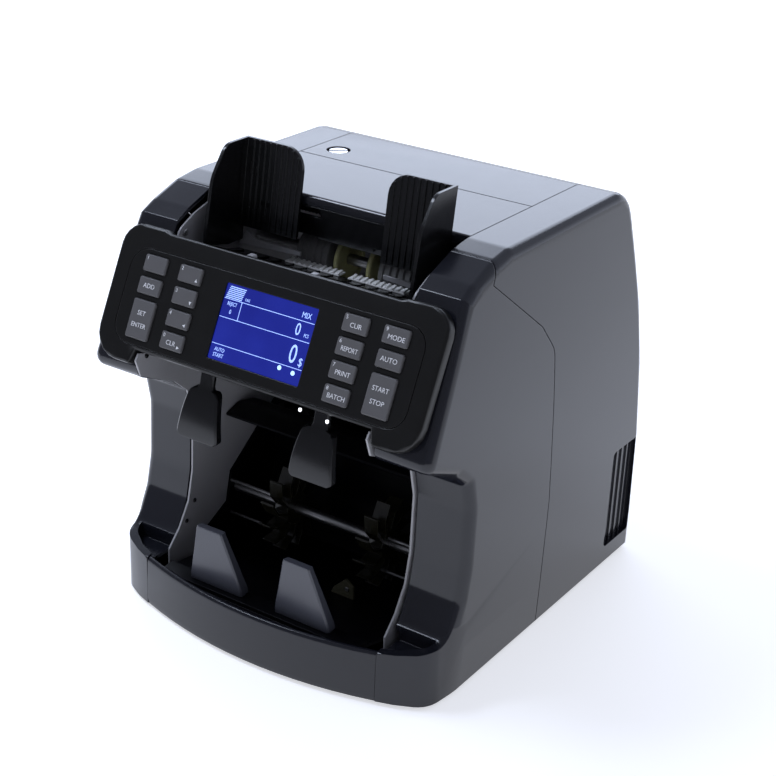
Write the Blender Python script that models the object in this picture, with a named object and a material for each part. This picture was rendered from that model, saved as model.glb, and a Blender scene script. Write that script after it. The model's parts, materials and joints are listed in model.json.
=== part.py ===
"""Two-pocket banknote counter, about 292 x 331 x 352 mm, as separate closed pieces.

Lengths below are in millimetres and are turned into metres as they are placed.
Every place is given as (x, depth, z): x from the centre line, depth forward from
the rear face, z up from the surface the machine stands on. The object's own origin
is on that surface, under the middle of the base, with the front facing -Y.
"""
import math

import bmesh
import bpy
from mathutils import Matrix, Vector

for old in list(bpy.data.objects):
    bpy.data.objects.remove(old, do_unlink=True)

# Overall size
DEPTH = 331.0
HALF_WIDTH = 146.0
HEIGHT = 320.0
GAP = 0.3
SEAM_GAP = 0.9
WALL = 3.0
FOOT_HEIGHT = 3.0

# Centre bay between the side covers, and the seam that splits each side cover
BAY = 102.0
LIP_HALF = 105.0
TOP_SEAM = 134.0
SEAM = [(238, 340), (238, 322), (247, 303), (181, 254, 12), (162, 231, 18), (154, 108, 60), (158, -5)]

# Control panel: the lower edge of its face, its lean, and what it carries
PANEL_FOOT = (326.0, 220.0)
PANEL_LEAN = math.radians(25.2)
PANEL_THICK = 9.0
PLATE_THICK = 2.5
PLATE_GROOVE = 0.55
DISPLAY = (77.4, 53.1)
KEY_WIDTH = 20.0
KEY_HEIGHT = 12.0
KEY_PITCH = 16.0
KEY_ROWS = 4
KEY_FIELD_TOP = 66.3
KEY_COLUMNS = (101.7, 70.0)

# Hopper: guides, their racks and pinion, feed rollers
GUIDE_INNER = 36.4
GUIDE_OUTER = 89.0
GUIDE_TOP = 352.0
GUIDE_LEAN = 0.14
GUIDE_WALL = 2.5
GUIDE_CORNER = 16.0
GUIDE_RIBS = 9
PINION = (0.0, 206.0, 298.0)
PINION_RADIUS = 6.0
PINION_TEETH = 12
FEED_AXIS = (190.0, 269.0)
FEED_RADIUS = 17.5
SHAFT_RADIUS = 4.0

# Stacker and reject pockets
STACK_AXIS = (216.0, 66.0)
STACK_WHEEL = 34.0
STACK_FINS = 12
REJECT_HINGE = (308.5, 206.0)
REJECT_STOP_X = 49.5
STACK_STOP_X = 39.2
CHEEK = 100.0

# Rear hatch
DOOR_HINGE = (3.2, 46.5)
LATCH = (-82.0, 112.0)

COLOURS = {
    "cover": ((0.020, 0.020, 0.024), 0.22, 0.0),
    "panel": ((0.014, 0.013, 0.014), 0.30, 0.0),
    "key": ((0.060, 0.060, 0.070), 0.45, 0.0),
    "black": ((0.012, 0.012, 0.013), 0.40, 0.0),
    "stop": ((0.075, 0.075, 0.085), 0.50, 0.0),
    "steel": ((0.55, 0.55, 0.56), 0.35, 1.0),
    "chrome": ((0.80, 0.80, 0.82), 0.12, 1.0),
    "sheet": ((0.30, 0.30, 0.31), 0.45, 0.6),
    "rubber": ((0.18, 0.18, 0.19), 0.75, 0.0),
    "yellow": ((0.42, 0.38, 0.20), 0.60, 0.0),
    "display": ((0.02, 0.03, 0.60), 0.12, 0.0),
    "board": ((0.02, 0.16, 0.06), 0.55, 0.0),
    "foot": ((0.03, 0.03, 0.03), 0.85, 0.0),
}


def at(x, depth, z):
    """A place in the object's frame, in metres."""
    return Vector((x, DEPTH / 2 - depth, z)) * 0.001


def on_panel(u, v, w):
    """A place on the control panel: u across, v up its slope, w out of its face."""
    rise, run = math.cos(PANEL_LEAN), math.sin(PANEL_LEAN)
    return at(u, PANEL_FOOT[0] - v * run + w * rise, PANEL_FOOT[1] + v * rise + w * run)


def finish(name, mesh, colour):
    """Turn a bmesh into a named object, painted if it stays as it is."""
    bmesh.ops.remove_doubles(mesh, verts=mesh.verts, dist=1e-6)
    bmesh.ops.recalc_face_normals(mesh, faces=mesh.faces)
    data = bpy.data.meshes.new(name)
    mesh.to_mesh(data)
    mesh.free()
    piece = bpy.data.objects.new(name, data)
    bpy.context.collection.objects.link(piece)
    return paint(piece, colour) if colour else piece


def paint(piece, colour):
    """Give a piece its material and smooth shading."""
    base, roughness, metallic = COLOURS[colour]
    material = bpy.data.materials.new(piece.name)
    material.use_nodes = True
    shader = material.node_tree.nodes["Principled BSDF"]
    shader.inputs["Base Color"].default_value = (*base, 1.0)
    shader.inputs["Roughness"].default_value = roughness
    shader.inputs["Metallic"].default_value = metallic
    piece.data.materials.clear()
    piece.data.materials.append(material)
    piece.data.shade_smooth()
    piece.data.set_sharp_from_angle(angle=math.radians(35))
    return piece


def loft(name, rings, colour=None, capped=True):
    """Join rings of points, each with as many points, into one closed skin."""
    mesh = bmesh.new()
    rows = [[mesh.verts.new(point) for point in ring] for ring in rings]
    count = len(rows[0])
    pairs = list(zip(rows, rows[1:]))
    if not capped:
        pairs.append((rows[-1], rows[0]))
    for low, high in pairs:
        for i in range(count):
            j = (i + 1) % count
            mesh.faces.new((low[i], low[j], high[j], high[i]))
    if capped:
        mesh.faces.new(rows[0])
        mesh.faces.new(rows[-1])
    return finish(name, mesh, colour)


def prism(name, outline, axis, low, high, colour=None, place=None):
    """Extrude an outline along x (depth, z), depth (x, z), z (x, depth) or the panel's w (u, v)."""
    spots = {
        "x": lambda u, v, w: at(w, u, v),
        "depth": lambda u, v, w: at(u, w, v),
        "z": lambda u, v, w: at(u, v, w),
        "panel": lambda u, v, w: on_panel(u, v, w),
    }
    spot = place or spots[axis]
    return loft(name, [[spot(u, v, w) for u, v in outline] for w in (low, high)], colour)


def block(name, x, depth, z, colour=None):
    """A box from pairs of limits."""
    outline = [(x[0], depth[0]), (x[1], depth[0]), (x[1], depth[1]), (x[0], depth[1])]
    return prism(name, outline, "z", z[0], z[1], colour)


def rounded(corners, steps=4):
    """An outline from (u, v) or (u, v, radius) corners, with arcs at the round ones."""
    points = []
    count = len(corners)
    for i, corner in enumerate(corners):
        here = Vector(corner[:2])
        radius = corner[2] if len(corner) > 2 else 0.0
        if not radius:
            points.append((here.x, here.y))
            continue
        back = (Vector(corners[i - 1][:2]) - here).normalized()
        ahead = (Vector(corners[(i + 1) % count][:2]) - here).normalized()
        half = back.angle(ahead) / 2
        centre = here + (back + ahead).normalized() * radius / math.sin(half)
        start = here + back * radius / math.tan(half) - centre
        end = here + ahead * radius / math.tan(half) - centre
        first = math.atan2(start.y, start.x)
        sweep = (math.atan2(end.y, end.x) - first + math.pi) % (2 * math.pi) - math.pi
        for k in range(steps + 1):
            angle = first + sweep * k / steps
            points.append((centre.x + radius * math.cos(angle), centre.y + radius * math.sin(angle)))
    return points


def inset(outline, distance):
    """Move every side of an outline inwards by a distance."""
    area = sum(a[0] * b[1] - b[0] * a[1] for a, b in zip(outline, outline[1:] + outline[:1]))
    turn = 1.0 if area > 0 else -1.0
    points = []
    count = len(outline)
    for i in range(count):
        here = Vector(outline[i])
        before = (here - Vector(outline[i - 1])).normalized()
        after = (Vector(outline[(i + 1) % count]) - here).normalized()
        normal_a = Vector((-before.y, before.x)) * turn
        normal_b = Vector((-after.y, after.x)) * turn
        mitre = (normal_a + normal_b).normalized()
        points.append(tuple(here + mitre * distance / max(0.3, mitre.dot(normal_a))))
    return points


def moved_in(corners, distance, base_share=1.0):
    """Corners with every side moved inwards; the last side, the base, moves by its own share."""
    count = len(corners)
    places = [Vector(corner[:2]) for corner in corners]
    ways = [(places[(i + 1) % count] - places[i]).normalized() for i in range(count)]
    turn = 1.0 if sum(a.cross(b) for a, b in zip(places, places[1:] + places[:1])) > 0 else -1.0
    steps = [distance] * (count - 1) + [distance * base_share]
    moved = []
    for i, corner in enumerate(corners):
        before, after = ways[i - 1], ways[i]
        start = places[i] + Vector((-before.y, before.x)) * turn * steps[i - 1]
        other = places[i] + Vector((-after.y, after.x)) * turn * steps[i]
        bend = before.cross(after)
        spot = start + before * (other - start).cross(after) / bend
        if len(corner) == 2:
            moved.append((spot.x, spot.y))
            continue
        radius = corner[2] - distance if bend * turn > 0 else corner[2] + distance
        moved.append((spot.x, spot.y, max(radius, 0.6)))
    return moved


def strip(line, thickness):
    """A thin closed outline from an open line of points, thickened to its right side."""
    other = []
    for i, point in enumerate(line):
        here = Vector(point)
        before = Vector(line[max(0, i - 1)])
        after = Vector(line[min(len(line) - 1, i + 1)])
        legs = [leg.normalized() for leg in (here - before, after - here) if leg.length > 0]
        normals = [Vector((leg.y, -leg.x)) for leg in legs]
        mitre = sum(normals, Vector((0.0, 0.0))).normalized()
        other.append(tuple(here + mitre * thickness / max(0.3, mitre.dot(normals[0]))))
    return list(line) + other[::-1]


def turned(name, profile, centre, direction, colour=None, sides=32, bore=0.0):
    """Turn a profile of (radius, along) points about an axis; with a bore it is a ring."""
    axis = Vector(direction).normalized()
    side = axis.orthogonal().normalized()
    other = axis.cross(side)
    points = list(profile)
    if bore:
        points += [(bore, profile[-1][1]), (bore, profile[0][1])]
    rings = []
    for k in range(sides):
        angle = 2 * math.pi * k / sides
        out = side * math.cos(angle) + other * math.sin(angle)
        rings.append([centre + (out * radius + axis * along) * 0.001 for radius, along in points])
    if bore:
        return loft(name, rings, colour, capped=False)
    stacks = [[rings[k][i] for k in range(sides)] for i in range(len(points))]
    return loft(name, stacks, colour)


def combine(body, tool, operation="DIFFERENCE"):
    """Cut, join or intersect a body with a hidden tool."""
    tool.hide_render = True
    tool.display_type = "WIRE"
    modifier = body.modifiers.new(tool.name, "BOOLEAN")
    modifier.operation = operation
    modifier.solver = "EXACT"
    modifier.object = tool
    return body


def settle(piece):
    """Replace a piece's mesh by its evaluated one, and drop its tools."""
    graph = bpy.context.evaluated_depsgraph_get()
    data = bpy.data.meshes.new_from_object(piece.evaluated_get(graph))
    tools = [modifier.object for modifier in piece.modifiers]
    piece.modifiers.clear()
    piece.data = data
    for tool in tools:
        bpy.data.objects.remove(tool, do_unlink=True)
    return piece


def set_origin(piece, point):
    """Put a moving piece's origin on its joint."""
    piece.data.transform(Matrix.Translation(-point))
    piece.location = point
    return piece


# --- outer shells ---------------------------------------------------------

BACK = [(0, FOOT_HEIGHT), (4, 108), (13, 173), (24, 227), (42, 292)]
SHOULDER = [(220, HEIGHT, 30), (240, 317.0, 30), (265, 307.5, 30)]
REAR_CORNER = (50, HEIGHT, 24)
CREASE = 8.0
BASE_CREASE = 0.35
HANDLE = (7, 50, 20, 105)
HANDLE_FLOOR = 140.4
HANDLE_RIBS = 4


def silhouette():
    """Corners of the side covers' outline from the side: back, top, shoulder, nose, pillar, lip."""
    behind_panel = [(277.2, 300.9, 2)]
    nose = [(325.8, 197.4, 9), (286, 180, 12), (271, 168, 6)]
    pillar = [(266, 145, 30), (267, 100, 60), (272, 76, 20), (284, 50, 16), (314, 43, 2)]
    return BACK + [REAR_CORNER] + SHOULDER + behind_panel + nose + pillar + [(316, FOOT_HEIGHT)]


def lip_edge(out=0.0):
    """The base's bowed front in plan, as (x, depth) from the centre to the right side."""
    half_chord, bow = 118.0, 21.0
    radius = (half_chord ** 2 + bow ** 2) / (2 * bow)
    front = []
    for k in range(9):
        x = half_chord * k / 8
        front.append((x, DEPTH - radius + math.sqrt(radius ** 2 - x ** 2) - out))
    corner = rounded([front[-2], (140.5 - out, 300 - out, 22 - out), (HALF_WIDTH - 0.8 - out, 250)], 7)[1:-1]
    return front + corner


def trim_block(name, side, out):
    """What the lower front corner of a side cover may fill: the bowed base, and all above it."""
    edge = [point for point in lip_edge(out) if point[0] > 90]
    plan = [(60, -20), (60, edge[0][1])] + edge + [(HALF_WIDTH + 4, 240), (HALF_WIDTH + 4, -20)]
    piece = prism(name, [(side * x, depth) for x, depth in plan], "z", -10, 60)
    block_above = block(name + "_above", sorted((side * 60, side * 152)), (-20, 340), (59, 340))
    return settle(combine(piece, block_above, "UNION"))


def lean_in(piece, side):
    """Bow a side cover's outer wall: widest low down, leaning in towards the top."""
    mesh = bmesh.new()
    mesh.from_mesh(piece.data)
    for level in (40, 90, 140, 185, 215, 240, 262, 280, 295, 305):
        geometry = mesh.verts[:] + mesh.edges[:] + mesh.faces[:]
        bmesh.ops.bisect_plane(mesh, geom=geometry, dist=1e-6, plane_co=(0, 0, level * 0.001),
                               plane_no=(0, 0, 1))
    for vert in mesh.verts:
        height = vert.co.z * 1000
        across = (abs(vert.co.x) * 1000 - BAY) / (HALF_WIDTH - BAY)
        fall = max(0.0, height - 150) / 170
        lean = 1.0 * (1 - min(1.0, height / 90)) ** 2 + 8.0 * fall ** 2
        vert.co.x -= side * lean * max(0.0, across) * 0.001
    mesh.to_mesh(piece.data)
    mesh.free()
    return piece


def tray_body(name, side, start, wall):
    """A solid from the bay out to a wall's inner or outer face, its outer edges well rounded."""
    crease = CREASE - wall
    rings = [[at(side * start, u, v) for u, v in rounded(moved_in(silhouette(), wall))]]
    for k in range(6):
        angle = math.pi / 2 * k / 5
        x = HALF_WIDTH - wall - crease * (1 - math.sin(angle))
        base_share = 1.0 if wall else BASE_CREASE
        corners = moved_in(silhouette(), wall + crease * (1 - math.cos(angle)), base_share)
        rings.append([at(side * x, u, v) for u, v in rounded(corners)])
    return lean_in(loft(name, rings), side)


def lip_pocket(name, side, grow):
    """The sunken floor between a pillar's flare and the raised rim round the base's corner."""
    edge = [point for point in lip_edge(5.5 - grow) if point[0] > BAY - 8 and point[1] > 286 - grow]
    plan = [(BAY - 8, 286 - grow)] + edge + [(edge[-1][0], 286 - grow)]
    return prism(name, [(side * x, depth) for x, depth in plan], "z", 39.5 - grow, 60)


def handle_recess(name, side):
    """Finger recess, with upright ribs left standing on its floor."""
    rear, front, low, high = HANDLE
    outline = rounded([(rear, low, 3), (front, low, 5), (front, high, 5), (rear, high, 3)], 3)
    recess = prism(name, outline, "x", side * HANDLE_FLOOR, side * 160)
    pitch = (front - rear) / (HANDLE_RIBS + 1)
    for k in range(1, HANDLE_RIBS + 1):
        middle = rear + pitch * k
        reach = sorted((side * (HANDLE_FLOOR - 1), side * (HANDLE_FLOOR + 1.2)))
        combine(recess, block(f"{name}_rib_{k}", reach, (middle - 1.2, middle + 1.2), (low - 1, high + 1)))
    return settle(recess)


def side_tray(name, side):
    """A deep tray open towards the middle: outer wall, and a rim all the way round."""
    shell = tray_body(name, side, BAY + GAP, 0.0)
    settle(combine(shell, trim_block(name + "_trim", side, 0.0), "INTERSECT"))
    hollow = tray_body(name + "_hollow", side, BAY - 6, WALL)
    settle(combine(hollow, trim_block(name + "_inner_trim", side, WALL), "INTERSECT"))
    rear, front, low, high = HANDLE
    rear, front, low, high = rear - 12, front + WALL, low - WALL, high + WALL
    cup = [(rear, low), (front, low), (front, high), (rear, high)]
    combine(hollow, prism(name + "_cup", cup, "x", side * (HANDLE_FLOOR - WALL), side * 160))
    combine(hollow, lip_pocket(name + "_pocket_wall", side, 2.8))
    settle(hollow)
    combine(shell, hollow)
    combine(shell, handle_recess(name + "_recess", side))
    combine(shell, lip_pocket(name + "_pocket", side, 0.0))
    insert = block(name + "_insert", sorted((side * 80, side * (LIP_HALF + GAP / 2))), (282, 345), (-5, 46))
    combine(shell, insert)
    return settle(shell)


def side_covers(side, word):
    """Each side is moulded in two pieces, which meet at the seam."""
    line = rounded(SEAM, 4)
    spread = SEAM_GAP / 2
    ahead = [(u + spread, v) for u, v in line] + [(400, -5), (400, 340)]
    behind = [(u - spread, v) for u, v in line] + [(-60, -5), (-60, 340)]
    for part, outline in (("front", ahead), ("rear", behind)):
        name = f"{word}_{part}_cover"
        cover = side_tray(name, side)
        combine(cover, prism(name + "_half", outline, "x", side * 80, side * 170), "INTERSECT")
        settle(cover)
        paint(cover, "cover")


def front_lip():
    """The bowed insert between the two side covers, with a turned-in top."""
    edge = [point for point in lip_edge() if point[0] < LIP_HALF]
    outer = [(-x, depth) for x, depth in edge[::-1]][:-1] + edge
    limit = LIP_HALF - GAP / 2
    radius_end = lip_edge()[8]
    share = (limit - edge[-1][0]) / (radius_end[0] - edge[-1][0])
    end_depth = edge[-1][1] + (radius_end[1] - edge[-1][1]) * share
    outer = [(-limit, end_depth)] + outer + [(limit, end_depth)]

    def ring(point):
        x, depth = point
        return [at(x, depth - 0.8, FOOT_HEIGHT), at(x, depth, 7), at(x, depth, 26),
                at(x, depth - 0.4, 39), at(x, depth - 0.9, 41.2), at(x, depth - 2, 42.5),
                at(x, depth - 3.3, 42.9), at(x, depth - 4.6, 42.5), at(x, depth - 5.4, 36),
                at(x, depth - 8, FOOT_HEIGHT)]
    loft("front_lip", [ring(point) for point in outer], "cover")


def base_tray():
    """Flat floor inside the covers."""
    edge = lip_edge(WALL + 7)
    half = [(x, depth) for x, depth in edge if depth > 255] + [(134, 240), (134, 12)]
    outline = [(-x, depth) for x, depth in half[::-1]][:-1] + half
    floor = FOOT_HEIGHT + WALL + GAP
    prism("base_tray", outline, "z", floor, floor + 2.5, "black")


def feet():
    """Four round rubber feet under the floor."""
    for word, depth in (("front", 280), ("rear", 38)):
        for hand, x in (("left", -112), ("right", 112)):
            profile = [(9.0, 0.0), (10.0, 0.8), (10.0, FOOT_HEIGHT - GAP)]
            turned(f"foot_{word}_{hand}", profile, at(x, depth, 0), (0, 0, 1), "foot", 20)


def top_front_cover():
    """Flat lid between the cross seam and the hopper, turned down at its front edge."""
    limit = BAY - GAP
    line = rounded([(TOP_SEAM + SEAM_GAP / 2, HEIGHT), (217.5, HEIGHT, 3.2), (217.5, 313)], 3)
    prism("top_front_cover", strip(line, WALL - 0.4), "x", -limit, limit, "cover")


def door_line():
    """The rear hatch's outer line, from the cross seam over the back and down."""
    back = [point for point in BACK[::-1] if point[1] > 60]
    return rounded([(TOP_SEAM - SEAM_GAP / 2, HEIGHT), REAR_CORNER] + back + [(1.6, 44.6)])


def rear_door():
    """Curved rear hatch, hinged along its lower edge."""
    limit = BAY - GAP
    line = door_line()
    shape = line + [tuple(point) for point in strip(line, -(WALL - 0.4))[len(line):]]
    door = prism("rear_door", shape, "x", -limit, limit)
    hole = turned("latch_hole", [(9.3, -9), (9.3, 9)], at(LATCH[0], LATCH[1], HEIGHT), (0, 0, 1), sides=24)
    settle(combine(door, hole))
    set_origin(paint(door, "cover"), at(0, *DOOR_HINGE))


def door_latch():
    """Slotted quarter-turn screw with a short cam under the hatch."""
    centre = at(LATCH[0], LATCH[1], 0)
    profile = [(3.0, 306), (3.0, 315.0), (7.2, 315.2), (8.1, 316.2), (8.1, 318.4), (7.3, 319.4)]
    latch = turned("door_latch", profile, centre, (0, 0, 1), sides=24)
    slot = block("latch_slot", (LATCH[0] - 10, LATCH[0] + 10), (LATCH[1] - 1.3, LATCH[1] + 1.3), (317.0, 325))
    slot.data.transform(Matrix.Translation(centre) @ Matrix.Rotation(math.radians(38), 4, "Z")
                        @ Matrix.Translation(-centre))
    combine(latch, slot)
    cam = block("latch_cam", (LATCH[0] - 4, LATCH[0] + 4), (LATCH[1] - 4, LATCH[1] + 12), (304, 307))
    combine(latch, cam, "UNION")
    settle(latch)
    set_origin(paint(latch, "chrome"), at(LATCH[0], LATCH[1], 318))


def rear_panel():
    """Fixed strip under the rear hatch, holding the inlet and the power switch."""
    limit = BAY - GAP
    panel = block("rear_panel", (-limit, limit), (3.4, 6.0), (FOOT_HEIGHT + 6.2, 42.8))
    combine(panel, block("inlet_hole", (-84.3, -55.7), (0, 10), (13.7, 34.3)))
    combine(panel, block("switch_hole", (-40.4, -27.6), (0, 10), (14.1, 33.9)))
    paint(settle(panel), "black")


def power_inlet():
    """Appliance inlet: flange, shrouded socket and three pins."""
    inlet = block("power_inlet", (-87, -53), (1.4, 3.1), (11, 37))
    combine(inlet, block("inlet_body", (-84, -56), (3.0, 22), (14, 34)), "UNION")
    combine(inlet, block("inlet_well", (-82, -58), (0, 18), (16, 32)))
    for k, (x, z) in enumerate(((-77, 21), (-63, 21), (-70, 27))):
        pin = block(f"inlet_pin_{k}", (x - 1, x + 1), (4, 19), (z - 2, z + 2))
        combine(inlet, pin, "UNION")
    paint(settle(inlet), "black")


def power_switch():
    """Rocker that tips about a level axis."""
    outline = [(0.6, 15.0), (2.6, 24), (0.9, 33.0), (5, 33.4), (11, 28), (11, 20), (5, 14.6)]
    rocker = prism("power_switch", outline, "x", -40, -28, "black")
    set_origin(rocker, at(-34, 7, 24))


# --- control panel --------------------------------------------------------

def panel_outline():
    half = [(97, 84), (102, 86, 4), (138, 86, 17), (138, -12, 21), (103.5, -12, 3), (101, -1.5)]
    return rounded([(-u, *rest) for u, *rest in half[::-1]] + half, 5)


def plate_outline():
    half = [(124, 70, 14), (124, 2, 14)]
    return rounded([(-u, *rest) for u, *rest in half[::-1]] + half, 4)


def panel_housing():
    """Frame round the keypad plate, rounded at both ends."""
    outline = panel_outline()
    rings = []
    for away, w in ((1.5, -PANEL_THICK), (0, -PANEL_THICK + 2), (0, -2), (0.7, -0.7), (2, 0)):
        rings.append([on_panel(u, v, w) for u, v in inset(outline, away)])
    housing = loft("panel_housing", rings)
    seat = inset(plate_outline(), -PLATE_GROOVE)
    combine(housing, prism("plate_seat", seat, "panel", -PLATE_THICK - GAP, 5))
    well = rounded([(-117, 4.5, 6), (117, 4.5, 6), (117, 68.6, 6), (-117, 68.6, 6)])
    combine(housing, prism("panel_well", well, "panel", -20, 2))
    paint(settle(housing), "panel")


def keys():
    """Names, centres and heights of the fourteen keys, as the columns stand."""
    outer, inner = KEY_COLUMNS
    rows = [KEY_FIELD_TOP - KEY_HEIGHT / 2 - KEY_PITCH * row for row in range(KEY_ROWS)]
    double = KEY_HEIGHT + KEY_PITCH
    low = (rows[2] + rows[3]) / 2
    found = []
    for hand, side in (("left", -1), ("right", 1)):
        found.append((f"key_{hand}_outer_1", side * outer, rows[0], KEY_HEIGHT))
        found.append((f"key_{hand}_outer_2", side * outer, rows[1], KEY_HEIGHT))
        found.append((f"key_{hand}_outer_tall", side * outer, low, double))
        for row, v in enumerate(rows, 1):
            found.append((f"key_{hand}_inner_{row}", side * inner, v, KEY_HEIGHT))
    return found


def rectangle(u, v, width, height, radius):
    a, b = width / 2, height / 2
    corners = [(u - a, v - b, radius), (u + a, v - b, radius), (u + a, v + b, radius), (u - a, v + b, radius)]
    return rounded(corners, 3)


def keypad_plate():
    """Flush plate with a window for the display and a hole for every key."""
    plate = prism("keypad_plate", plate_outline(), "panel", -PLATE_THICK, 0)
    window = rectangle(0, display_middle(), DISPLAY[0] + 2 * GAP, DISPLAY[1] + 2 * GAP, 1.2)
    combine(plate, prism("window_hole", window, "panel", -6, 5))
    for name, u, v, height in keys():
        hole = rectangle(u, v, KEY_WIDTH + 0.8, height + 0.8, 1.9)
        combine(plate, prism(name + "_hole", hole, "panel", -6, 5))
    paint(settle(plate), "panel")


def key_caps():
    """Each cap has a soft top edge and a flange that keeps it behind the plate."""
    for name, u, v, height in keys():
        rings = []
        for grow, w in ((1.0, -5.4), (1.0, -4.2), (0, -4.2), (0, 1.1), (-0.6, 1.8)):
            outline = rectangle(u, v, KEY_WIDTH + 2 * grow, height + 2 * grow, 1.5 + grow)
            rings.append([on_panel(a, b, w) for a, b in outline])
        set_origin(loft(name, rings, "key"), on_panel(u, v, 0))


def display_middle():
    return KEY_FIELD_TOP - KEY_HEIGHT / 2 - 1.5 * KEY_PITCH


def display():
    """Window, the module behind it, and the board that both stand on."""
    middle = display_middle()
    window = rectangle(0, middle, *DISPLAY, 1.0)
    prism("display_window", window, "panel", -2.3, -0.9, "display")
    module = rectangle(0, middle, DISPLAY[0] + 8, DISPLAY[1] + 5, 1.0)
    prism("display_module", module, "panel", -6.6, -PLATE_THICK - GAP - 0.2, "black")
    prism("control_board", rectangle(0, 36, 228, 58, 2.0), "panel", -8.4, -7.0, "board")


# --- hopper ---------------------------------------------------------------

def leaned(x, depth, z):
    """The hopper's back leans away as it rises."""
    return at(x, depth + (HEIGHT - z) * GUIDE_LEAN, z)


def guide(side, word, rack_low, rack_high, teeth_up):
    """L-shaped note guide: ribbed back, side wall, and the arm and rack behind the hopper."""
    face = 221.4

    def place(u, v, w):
        return leaned(side * u, w, v)
    back = rounded([(GUIDE_INNER, 288), (GUIDE_OUTER, 288), (GUIDE_OUTER, GUIDE_TOP),
                    (GUIDE_INNER, GUIDE_TOP, GUIDE_CORNER)], 6)
    piece = prism(f"{word}_guide", back, "depth", face - GUIDE_WALL, face, place=place)
    for k in range(GUIDE_RIBS):
        u = GUIDE_INNER + 3.6 + 5.0 * k
        from_centre = max(0.0, GUIDE_INNER + GUIDE_CORNER - u)
        top = GUIDE_TOP - 0.5 - GUIDE_CORNER + math.sqrt(GUIDE_CORNER ** 2 - from_centre ** 2)
        rib = [(u, 289), (u + 1.5, 289), (u + 1.5, top), (u, top)]
        combine(piece, prism(f"{word}_rib_{k}", rib, "depth", face - 1, face + 0.9, place=place), "UNION")
    wall = rounded([(216.6, GUIDE_TOP), (241, GUIDE_TOP, 12), (257, 330, 30), (266, 283, 3),
                    (240, 277, 4), (223.5, 277)], 4)
    reach = (side * (GUIDE_OUTER - GUIDE_WALL), side * GUIDE_OUTER)
    combine(piece, prism(f"{word}_wall", wall, "x", *reach), "UNION")
    low, high = sorted((side * 62, side * 72))
    arm = block(f"{word}_arm", (low, high), (204, 223.5), (rack_low + 0.6, rack_high - 0.6))
    combine(piece, arm, "UNION")
    combine(piece, rack(word, side, rack_low, rack_high, teeth_up), "UNION")
    settle(piece)
    set_origin(paint(piece, "black"), at(side * GUIDE_OUTER, 221, 320))


def rack(word, side, low, high, teeth_up):
    """Straight rack that runs past the pinion."""
    pitch = 2 * math.pi * PINION_RADIUS / PINION_TEETH
    start = -30.0
    points = []
    edge, tip = (high, high + 0.9) if teeth_up else (low, low - 0.9)
    x = start
    while x + pitch < 71:
        points += [(x, edge), (x + 0.3 * pitch, tip), (x + 0.5 * pitch, tip), (x + 0.8 * pitch, edge)]
        x += pitch
    flat = low if teeth_up else high
    outline = [(side * u, v) for u, v in points + [(71, edge), (71, flat), (start, flat)]]
    return prism(f"{word}_rack", outline, "depth", 203, 209)


def guides():
    top_pitch = PINION[2] + PINION_RADIUS
    low_pitch = PINION[2] - PINION_RADIUS
    guide(-1, "left", top_pitch + 1.2, top_pitch + 6.2, False)
    guide(1, "right", low_pitch - 6.2, low_pitch - 1.2, True)


def guide_pinion():
    """Small gear between the racks, so that both guides move by the same amount."""
    outline = []
    for k in range(PINION_TEETH):
        for part, radius in ((-0.32, 5.0), (-0.16, 6.1), (0.16, 6.1), (0.32, 5.0)):
            angle = 2 * math.pi * (k + part) / PINION_TEETH
            outline.append((radius * math.cos(angle), PINION[2] + radius * math.sin(angle)))
    gear = prism("guide_pinion", outline, "depth", 203.4, 208.6, "stop")
    set_origin(gear, at(*PINION))


def hopper():
    """Leaning back wall with a slot for each guide's arm, and the table in front of the rollers."""
    wall = [(217.4, 312.4), (212.8, 289), (210.2, 289), (214.9, 312.4)]
    back = prism("hopper_back", wall, "x", -98, 98)
    combine(back, block("upper_slot", (-90, -22), (200, 230), (304.6, 311.2)))
    combine(back, block("lower_slot", (22, 90), (200, 230), (280, 291.6)))
    paint(settle(back), "black")
    line = rounded([(277, 288), (232, 268.5, 40), (213, 264.5)], 3)
    prism("feed_table", strip(line[::-1], 2.0), "x", -98, 98, "black")


def shaft(name, depth, z, reach, radius, colour="steel"):
    piece = turned(name, [(radius, -reach), (radius, reach)], at(0, depth, z), (1, 0, 0), colour, 16)
    return set_origin(piece, at(0, depth, z))


def feed_set():
    """Driven shaft with ribbed feed rollers and two narrow picking rings."""
    depth, z = FEED_AXIS
    shaft("feed_shaft", depth, z, 97.6, SHAFT_RADIUS)
    bore = SHAFT_RADIUS + GAP
    for word, side in (("left", -1), ("right", 1)):
        profile = []
        for k in range(5):
            start = 22 + 5.8 * k
            profile += [(FEED_RADIUS - 1.4, start), (FEED_RADIUS, start + 0.8),
                        (FEED_RADIUS, start + 4.0), (FEED_RADIUS - 1.4, start + 4.8)]
        roller = turned(f"{word}_feed_roller", profile, at(0, depth, z), (side, 0, 0), "rubber", 32, bore)
        set_origin(roller, at(0, depth, z))
        ring = [(14.6, 13.6), (14.6, 12.4), (17.6, 12.4), (18.4, 13.2), (18.4, 15.2), (17.6, 16.0),
                (14.6, 16.0), (14.6, 14.8)]
        piece = turned(f"{word}_picking_ring", ring, at(0, depth, z), (side, 0, 0), "yellow", 32, bore)
        set_origin(piece, at(0, depth, z))


# --- pockets --------------------------------------------------------------

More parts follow.
